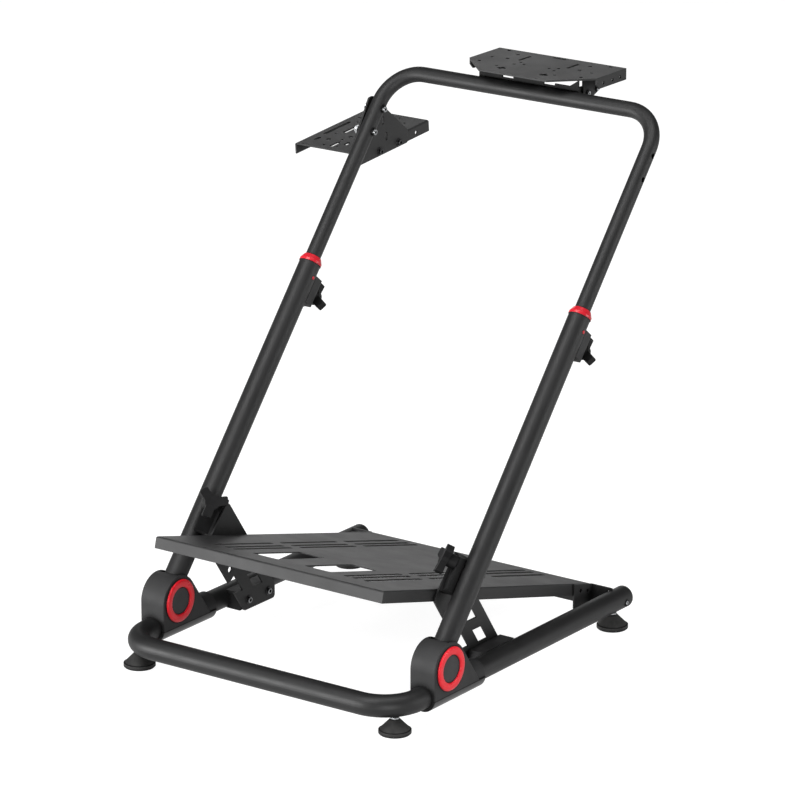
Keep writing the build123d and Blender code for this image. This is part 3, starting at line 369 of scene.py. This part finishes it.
def capped(grid):
    """Points and faces of a skin over a grid of rings, closed by fans to the middles of its end rings."""
    rings, around = grid.shape[:2]
    points = np.vstack([grid.reshape(-1, 3), grid[[0, -1]].mean(axis=1)])
    step = np.arange(around)
    ahead = (step + 1) % around
    row = np.arange(rings - 1)[:, None] * around
    quads = np.stack([row + step, row + ahead, row + around + ahead, row + around + step], axis=-1)
    last = (rings - 1) * around
    bottom = np.stack([ahead, step, np.full(around, rings * around)], axis=-1)
    top = np.stack([last + step, last + ahead, np.full(around, rings * around + 1)], axis=-1)
    return points, quads.reshape(-1, 4), np.vstack([bottom, top])


def piece_of(name, points, faces, sharp, blacking_and_shade, material, body):
    """A smooth mesh piece with edges sharp past an angle in degrees, and its darkness from blackening and
    painted shade, riding on a body.
    """
    mesh = bpy.data.meshes.new(name)
    mesh.from_pydata(points.tolist(), [], faces)
    mesh.polygons.foreach_set("use_smooth", np.ones(len(faces), bool))
    mesh.set_sharp_from_angle(angle=math.radians(sharp))
    mesh.attributes.new("blacking_and_shade", "FLOAT", "POINT").data.foreach_set("value", blacking_and_shade)
    mesh.materials.append(material)
    made = bpy.data.objects.new(name, mesh)
    bpy.context.scene.collection.objects.link(made)
    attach(made, body)
    return made


def threaded(name, node, material, body):
    """A threaded stud in the box of a plain one: along a helix, its radius falls from crest to root and
    back once in each pitch."""
    low, high = (np.array(corner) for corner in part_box(node))
    middle = (low + high) / 2
    crest = (high[0] - low[0]) / 2
    turn = np.linspace(0, 2 * np.pi, STEPS_ROUND, endpoint=False)
    height = np.linspace(low[2], high[2], int((high[2] - low[2]) / THREAD_PITCH * THREAD_STEPS))[:, None]
    phase = (height / THREAD_PITCH - turn / (2 * np.pi)) % 1
    radius = crest - THREAD_DEPTH * np.abs(2 * phase - 1)
    across = middle[0] + radius * np.cos(turn)
    along = middle[1] + radius * np.sin(turn)
    points, quads, fans = capped(np.stack([across, along, np.broadcast_to(height, radius.shape)], axis=-1))
    faces = quads.tolist() + fans.tolist()
    stud = piece_of(name, points, faces, THREAD_SHARP, np.zeros(len(points)), material, body)
    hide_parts(node)


zinc_steel = plated_steel("zinc_steel", ZINC_TONE, ZINC_DULL, ZINC_GLOSS)
dress([f"pivot_pin_{side}" for side in SIDES], zinc_steel)
for corner in CORNERS:
    threaded(f"foot_thread_{corner}", f"foot_stud_{corner}", zinc_steel, "base")

# Hinge caps: flat nylon discs snapped into the rings over the pivot pins' ends.
# They and every fastener are turned shapes, some rings of which are milled to a hexagon.
MID_X, FRONT_Y, TUBE_Z = 60.0, -409.5, 44.0
TRACK_HALF = 257.0
CHEEK = 23.0
PIVOT_Y, PIVOT_Z = 113.0, 38.7
TURNED_SHARP = 32
SIDEWAYS = (0.31, 0.55, 0.77)  # along no piece's axis
SIDE_SIGNS = tuple(zip(SIDES, (-1, 1)))


def spot(x, y, z):
    """A place in metres from millimetres right of the middle, behind the front tube and above its axis."""
    return np.array([MID_X + x, FRONT_Y + y, TUBE_Z + z]) / 1000


def turned(name, rings, spots, axis, material, body):
    """Shapes of revolution at several spots along one axis. A ring is a radius, a height, a share of
    hexagon, which shrinks the circle from the corners' radius to a hexagon's flats, and its darkness,
    from blackening or from painted shade in a socket; the last two may be left out."""
    rings = np.array([(*ring, 0, 0)[:4] for ring in rings], float)
    turn = np.linspace(0, 2 * np.pi, STEPS_ROUND, endpoint=False)
    hexagon = np.cos(np.pi / 6) / np.cos((turn + np.pi / 6) % (np.pi / 3) - np.pi / 6)
    radius = rings[:, 0, None] * (1 + rings[:, 2, None] * (hexagon - 1))
    height = np.broadcast_to(rings[:, 1, None], radius.shape)
    local = np.stack([radius * np.cos(turn), radius * np.sin(turn), height], axis=-1) / 1000
    out = np.array(axis, float) / np.linalg.norm(axis)
    right = np.cross(out, SIDEWAYS)
    right /= np.linalg.norm(right)
    one, quads, fans = capped(local @ np.stack([right, np.cross(out, right), out]))
    shift = np.arange(len(spots))[:, None, None] * len(one)
    points = (np.array(spots)[:, None, :] + one[None]).reshape(-1, 3)
    faces = (quads[None] + shift).reshape(-1, 4).tolist() + (fans[None] + shift).reshape(-1, 3).tolist()
    blacking_and_shade = np.append(np.repeat(rings[:, 3], STEPS_ROUND), rings[[0, -1], 3])
    made = piece_of(name, points, faces, TURNED_SHARP, np.tile(blacking_and_shade, len(spots)), material, body)


HINGE_CAP = [(21.2, 0.1), (21.2, 0.9), (20.8, 1.3)]
CAP_TONE = (0.040, 0.040, 0.041)
CAP_POLISHED = (0.055, 0.055, 0.056)
cap_plastic = moulded("cap_plastic", CAP_TONE, CAP_POLISHED, PLASTIC_GLOSS, HOUSING_SHINE, *NYLON)
for side, sign in SIDE_SIGNS:
    for face, way in (("outer", sign), ("inner", -sign)):
        cap_spot = [spot(sign * TRACK_HALF + way * CHEEK, PIVOT_Y, PIVOT_Z)]
        cap_name = f"hinge_cap_{side}_{face}"
        turned(cap_name, HINGE_CAP, cap_spot, (way, 0, 0), cap_plastic, "base")

# Foot nuts: thin zinc nuts run up each stud.
# Each locks its stud against the underside of the tube.
FRONT_FOOT = (243.0, 22.0)
REAR_FOOT = (257.0, 592.0)
FOOT_NUT = [(7.2, 23.7, 1), (7.5, 24.0, 1), (7.5, 25.6, 1), (7.1, 26.1, 1), (4.1, 26.1)]
foot_spots = [spot(sign * x, y, -TUBE_Z) for x, y in (FRONT_FOOT, REAR_FOOT) for sign in (-1, 1)]
turned("foot_nuts", FOOT_NUT, foot_spots, (0, 0, 1), zinc_steel, "base")

# Rail end screws: a bright socket screw in a cup washer made near black all over, which paints the shade of
# the recess round the screw; the screw's socket is dark with painted shade.
# One goes through each rail's outside into its end plug.
BLACK_TONE = (0.035, 0.035, 0.037)
BLACK_DULL = (0.06, 0.06, 0.062)
BLACK_GLOSS = 0.36
RAIL_SCREW_OUT = 17.2
RAIL_SCREW_Y, RAIL_SCREW_Z = 607.0, -3.0
blackened = plated_steel("blackened_steel", BLACK_TONE, BLACK_DULL, BLACK_GLOSS)
CUP_WASHER = [(6.0, -3, 0, 1), (6.0, 0.4, 0, 1), (5.5, 0.9, 0, 1), (3.9, 0.9, 0, 1), (3.4, 0.2, 0, 1)]
SOCKET_SCREW = [
    (1.9, -6), (1.9, 0.1), (3.0, 0.1), (3.0, 0.9), (2.6, 1.4),
    (1.5, 1.4, 1), (1.4, 1.2, 1, 1), (1.3, 0.4, 1, 1),
]
for side, sign in SIDE_SIGNS:
    rail_spot = [spot(sign * (TRACK_HALF + RAIL_SCREW_OUT), RAIL_SCREW_Y, RAIL_SCREW_Z)]
    turned(f"rail_washer_{side}", CUP_WASHER, rail_spot, (sign, 0, 0), blackened, "base")
    turned(f"rail_screw_{side}", SOCKET_SCREW, rail_spot, (sign, 0, 0), zinc_steel, "base")

# Strut bolts: blackened socket bolts, worn bright at the rim, with painted shade down their sockets and
# dark washers.
# Two on each side go through the strut into the rail block.
STRUT_INSIDE = 214.95
STRUT_BOLT_Y = (264.0, 315.5)
STRUT_WASHER = [(2.9, -22), (2.9, 0.05), (7.0, 0.05), (7.0, 1.0), (6.6, 1.3)]
STRUT_BOLT = [
    (4.8, 1.35, 0, 1), (4.8, 3.4, 0, 0.6), (4.3, 4.2, 0, 0.1), (3.7, 4.2, 0, 0.6),
    (2.9, 4.2, 1, 0.6), (2.8, 4.0, 1, 1), (2.7, 2.2, 1, 1),
]
for side, sign in SIDE_SIGNS:
    strut_spots = [spot(sign * STRUT_INSIDE, y, 0) for y in STRUT_BOLT_Y]
    inward = (-sign, 0, 0)
    turned(f"strut_washers_{side}", STRUT_WASHER, strut_spots, inward, blackened, "base")
    turned(f"strut_bolts_{side}", STRUT_BOLT, strut_spots, inward, zinc_steel, "base")

# Collar pegs: small red domes that snap through both sides of each lower tube.
# They hold the collar's sleeve.
LEAN = math.radians(40)
LEG_Y = 73.0
UP_LEG = np.array([0, math.sin(LEAN), math.cos(LEAN)])
TUBE_R = 17.5
PEG_ALONG = 621.0
PEG = [(2.8, -2.2), (2.8, 0.3), (2.6, 0.7), (2.0, 1.0), (1.0, 1.2)]


def leg_spot(x, along):
    """A place in metres from millimetres right of the middle and along the leaning uprights' axes."""
    return spot(x, LEG_Y, 0) + UP_LEG * along / 1000


for side, sign in SIDE_SIGNS:
    for face, way in (("outer", sign), ("inner", -sign)):
        peg_spot = [leg_spot(sign * TRACK_HALF + way * TUBE_R, PEG_ALONG)]
        peg_name = f"collar_peg_{side}_{face}"
        turned(peg_name, PEG, peg_spot, (way, 0, 0), red_collar, "uprights")

# Shifter bracket bolts: two through the left leg, with dull heads on its inner side and lock nuts on
# its outer side, and two blackened ones that hold the shifter plate's flange.
LEG_BOLT_OUT = 12.5
LEG_NUT_X = -272.55
LEG_BOLT_ALONG = (886.0, 928.0)
# The leg bolts' sockets are dark with painted shade.
LEG_BOLT = [
    (3.9, -28), (3.9, 0.1, 0, 1), (7.0, 0.1, 0, 1), (7.0, 0.9, 0, 1), (6.5, 1.3, 0, 1),
    (5.0, 1.3, 0, 1), (5.0, 1.6, 0, 0.9), (4.9, 4.0, 0, 0.7), (4.2, 4.8, 0, 0.3),
    (2.4, 4.8, 1, 0.3), (2.3, 4.6, 1, 1), (2.2, 2.8, 1, 1),
]
LOCK_NUT = [
    (7.0, 0.1, 1), (7.4, 0.5, 1), (7.4, 4.2, 1), (6.8, 4.8), (5.6, 5.4),
    (5.4, 6.4), (4.4, 6.8), (3.9, 6.6), (3.9, 7.6), (3.3, 8.2),
]
leg_bolt_spots = [leg_spot(LEG_BOLT_OUT - TRACK_HALF, along) for along in LEG_BOLT_ALONG]
leg_nut_spots = [leg_spot(LEG_NUT_X, along) for along in LEG_BOLT_ALONG]
turned("leg_bolts", LEG_BOLT, leg_bolt_spots, (1, 0, 0), zinc_steel, "upper")
turned("leg_nuts", LOCK_NUT, leg_nut_spots, (-1, 0, 0), zinc_steel, "upper")
FLANGE_BOLT_X, FLANGE_NUT_X = -269.55, -275.1
FLANGE_AT = ((694.1, 631.8), (746.7, 636.2))
FLANGE_BOLT = [
    (3.0, -5.6), (3.0, 0.1), (6.6, 0.1), (6.6, 0.9), (6.2, 1.3),
    (5.0, 1.3), (5.0, 4.2), (4.4, 5.0), (2.8, 5.0, 1), (2.7, 2.8, 1),
]
FLANGE_NUT = [(5.4, 0.1, 1), (5.8, 0.5, 1), (5.8, 4.2, 1), (5.3, 4.7), (3.1, 4.7), (3.0, 5.6), (2.5, 6.0)]
flange_bolts = [spot(FLANGE_BOLT_X, y, z) for y, z in FLANGE_AT]
flange_nuts = [spot(FLANGE_NUT_X, y, z) for y, z in FLANGE_AT]
turned("flange_bolts", FLANGE_BOLT, flange_bolts, (1, 0, 0), blackened, "upper")
turned("flange_nuts", FLANGE_NUT, flange_nuts, (-1, 0, 0), blackened, "upper")

# Wheel bracket bolts: a tilt bolt and a lock bolt through each pair of ears, with dark washers.
# Their nuts are inside the bracket.
EAR_FACE = 98.0
INNER_FACE = 91.7
EAR_AT = ((744.54, 771.68), (771.04, 774.18))
# The ear bolts' sockets are dark with painted shade.
EAR_BOLT = [
    (2.8, -6.6), (2.8, 0.2, 0, 1), (5.4, 0.2, 0, 1), (5.4, 0.9, 0, 1), (5.0, 1.2, 0, 1),
    (3.8, 1.2, 0, 1), (3.8, 1.5, 0, 0.5), (3.7, 3.0), (3.1, 3.7),
    (1.7, 3.7, 1), (1.6, 3.5, 1, 1), (1.5, 2.2, 1, 1),
]
for side, sign in SIDE_SIGNS:
    ear_bolts = [spot(sign * EAR_FACE, y, z) for y, z in EAR_AT]
    ear_nuts = [spot(sign * INNER_FACE, y, z) for y, z in EAR_AT]
    turned(f"ear_bolts_{side}", EAR_BOLT, ear_bolts, (sign, 0, 0), zinc_steel, "upper")
    turned(f"ear_nuts_{side}", FLANGE_NUT, ear_nuts, (-sign, 0, 0), zinc_steel, "upper")

# Floor: a plain white sweep that the stand throws a faint shadow on.
# It glows to the camera and in reflections, so that it is white there, and its glow lights nothing.
FLOOR_REACH = 40.0
FLOOR_TONE = (0.25, 0.25, 0.25)
FLOOR_ROUGH = 0.9
FLOOR_SEEN = 0.945
FLOOR_MIRRORED = 0.75
corners = FLOOR_REACH * np.array([(-1, -1, 0), (1, -1, 0), (1, 1, 0), (-1, 1, 0)])
floor_mesh = bpy.data.meshes.new("floor")
floor_mesh.from_pydata(corners.tolist(), [], [(0, 1, 2, 3)])
floor = bpy.data.objects.new("floor", floor_mesh)
bpy.context.scene.collection.objects.link(floor)
floor_white, floor_tree, floor_shader = shader_of("floor_white")
floor_shader.inputs["Base Color"].default_value = (*FLOOR_TONE, 1)
floor_shader.inputs["Roughness"].default_value = FLOOR_ROUGH
floor_shader.inputs["Specular IOR Level"].default_value = 0.0
floor_shader.inputs["Emission Color"].default_value = (1, 1, 1, 1)
ray = floor_tree.nodes.new("ShaderNodeLightPath")
mirrored = combine(floor_tree, "MAXIMUM", ray.outputs["Is Glossy Ray"], ray.outputs["Is Transmission Ray"])
mirrored = combine(floor_tree, "MULTIPLY", mirrored, FLOOR_MIRRORED)
seen = combine(floor_tree, "MULTIPLY", ray.outputs["Is Camera Ray"], FLOOR_SEEN)
floor_glow = combine(floor_tree, "MAXIMUM", seen, mirrored)
floor_tree.links.new(floor_glow, floor_shader.inputs["Emission Strength"])
floor_mesh.materials.append(floor_white)

# Light: softboxes low and high to the left, low and level to the right, overhead and behind the left.
# The studio is dark overhead, and its walls are white to the camera.
HORIZON_GLOW, ZENITH_GLOW = 0.32, 0.05
GLOW_FROM, GLOW_TO = 0.05, 0.50
STAND_MIDDLE = np.array([0.06, 0.0, 0.40])
LAMPS = (  # name, place, width and height in metres, power in watts
    ("low_left", (-2.3, -3.5, 0.55), 2.4, 1.3, 222),
    ("high_left", (-0.5, -2.2, 3.65), 2.0, 2.0, 110),
    ("overhead", (1.0, 0.0, 3.45), 1.6, 1.6, 50),
    ("right", (3.7, 1.5, 0.9), 1.8, 1.8, 48),
    ("low_right", (2.7, -2.8, 0.40), 1.4, 0.7, 62),
    ("rear_left", (-2.2, 3.1, 1.25), 1.6, 1.0, 11),
)
world = bpy.data.worlds.new("studio")
bpy.context.scene.world = world
world.use_nodes = True
sky = world.node_tree
sky_way = sky.nodes.new("ShaderNodeTexCoord")
sky_parts = sky.nodes.new("ShaderNodeSeparateXYZ")
sky.links.new(sky_way.outputs["Generated"], sky_parts.inputs["Vector"])
glow = spread(sky, sky_parts.outputs["Z"], HORIZON_GLOW, ZENITH_GLOW, GLOW_FROM, GLOW_TO)
sky_ray = sky.nodes.new("ShaderNodeLightPath")
glow = combine(sky, "MAXIMUM", glow, sky_ray.outputs["Is Camera Ray"])
sky.links.new(glow, sky.nodes["Background"].inputs["Strength"])
sky.nodes["Background"].inputs["Color"].default_value = (1, 1, 1, 1)


def softbox(name, place, width, height, power):
    """A rectangular area lamp at a place, turned to the middle of the stand and unseen by the camera."""
    lamp = bpy.data.lights.new(name, "AREA")
    lamp.shape = "RECTANGLE"
    lamp.size = width
    lamp.size_y = height
    lamp.energy = power
    made = bpy.data.objects.new(name, lamp)
    toward = STAND_MIDDLE - np.array(place)
    across = math.hypot(toward[0], toward[1])
    tilt = math.pi / 2 + math.atan2(toward[2], across)
    made.location = place
    made.rotation_euler = (tilt, 0, math.atan2(toward[1], toward[0]) - math.pi / 2)
    made.visible_camera = False
    bpy.context.scene.collection.objects.link(made)


for lamp_row in LAMPS:
    softbox(*lamp_row)

# Camera: a long lens from the front right, far off and well above the top bar, looking down.
# It stands where the stand's tubes line up as the photograph shows them.
CAMERA_PLACE = (4.2205, -5.8479, 2.6382)
CAMERA_PITCH, CAMERA_YAW = 72.588, 35.675
CAMERA_LENS, CAMERA_SENSOR = 220.9, 36.0
CAMERA_REACH = 200
lens = bpy.data.cameras.new("camera")
lens.lens = CAMERA_LENS
lens.sensor_width = CAMERA_SENSOR
lens.clip_end = CAMERA_REACH
camera = bpy.data.objects.new("camera", lens)
camera.location = CAMERA_PLACE
camera.rotation_euler = (math.radians(CAMERA_PITCH), 0, math.radians(CAMERA_YAW))
bpy.context.scene.collection.objects.link(camera)
bpy.context.scene.camera = camera
bpy.context.scene.view_settings.view_transform = "Standard"
